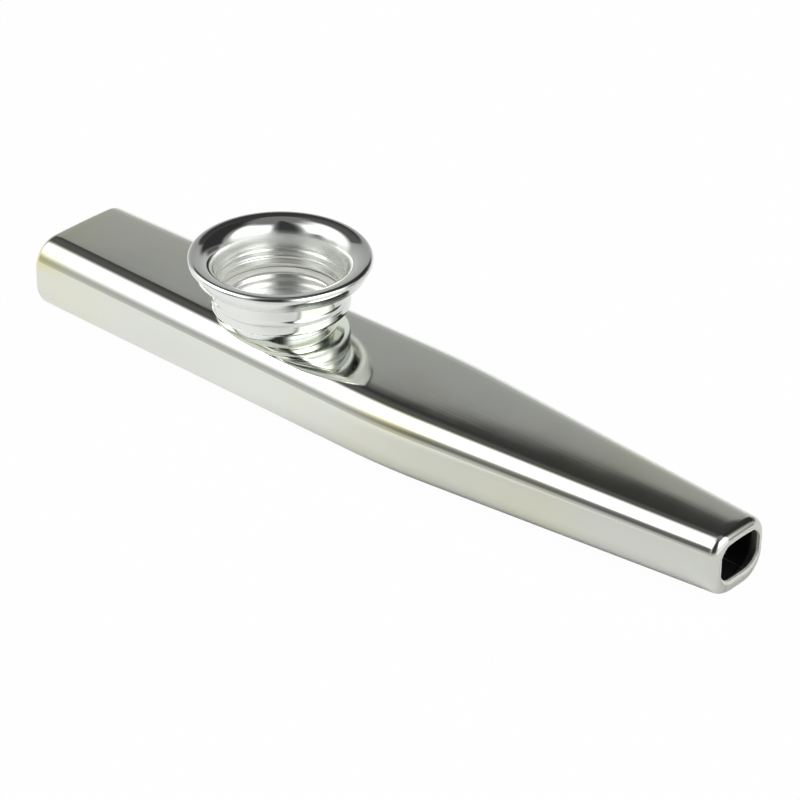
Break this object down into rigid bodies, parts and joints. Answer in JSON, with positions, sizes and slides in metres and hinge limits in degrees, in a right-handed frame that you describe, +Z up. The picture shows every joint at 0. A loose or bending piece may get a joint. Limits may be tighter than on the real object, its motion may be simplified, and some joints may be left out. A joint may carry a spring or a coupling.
{
  "type": "kazoo",
  "caption": "Metal kazoo: flat tapered body open at both ends, with a flared turret cap that screws into a cup and clamps a thin membrane over the body's air passage.",
  "frame": {"origin": "middle of the box's underside: the rest plane under the middle of the body's length and width", "axes": "+X from the wide end towards the narrow end, +Z up through the turret, +Y completing the right-handed frame"},
  "size_m": [0.12, 0.0256, 0.0205],
  "materials": {
    "body_metal": "plated steel, polished and slightly brushed, soft reflections",
    "turret_metal": "plated steel, bright mirror polish",
    "membrane_ring": "thin pale plastic ring",
    "membrane_film": "translucent glossy film"
  },
  "bodies": {
    "kazoo_body": {"body_cover": "body_metal", "base_plate": "body_metal", "turret_cup": "turret_metal", "lower_membrane_ring": "membrane_ring", "membrane": "membrane_film"},
    "clamping_ring": {"upper_membrane_ring": "membrane_ring"},
    "cap": {"bell_cap": "turret_metal"}
  },
  "joints": [
    {"name": "cap_rise", "type": "slide", "parent": "kazoo_body", "child": "clamping_ring", "axis": [0, 0, 1], "range_m": [0, 0.00188]},
    {"name": "cap_turn", "type": "hinge", "parent": "clamping_ring", "child": "cap", "pos_m": [-0.02, 0, 0.015], "axis": [0, 0, 1], "range_deg": [0, 540]}
  ],
  "couplings": [
    {"joint": "cap_rise", "follows": "cap_turn", "m_per_rad": 0.00019894}
  ]
}
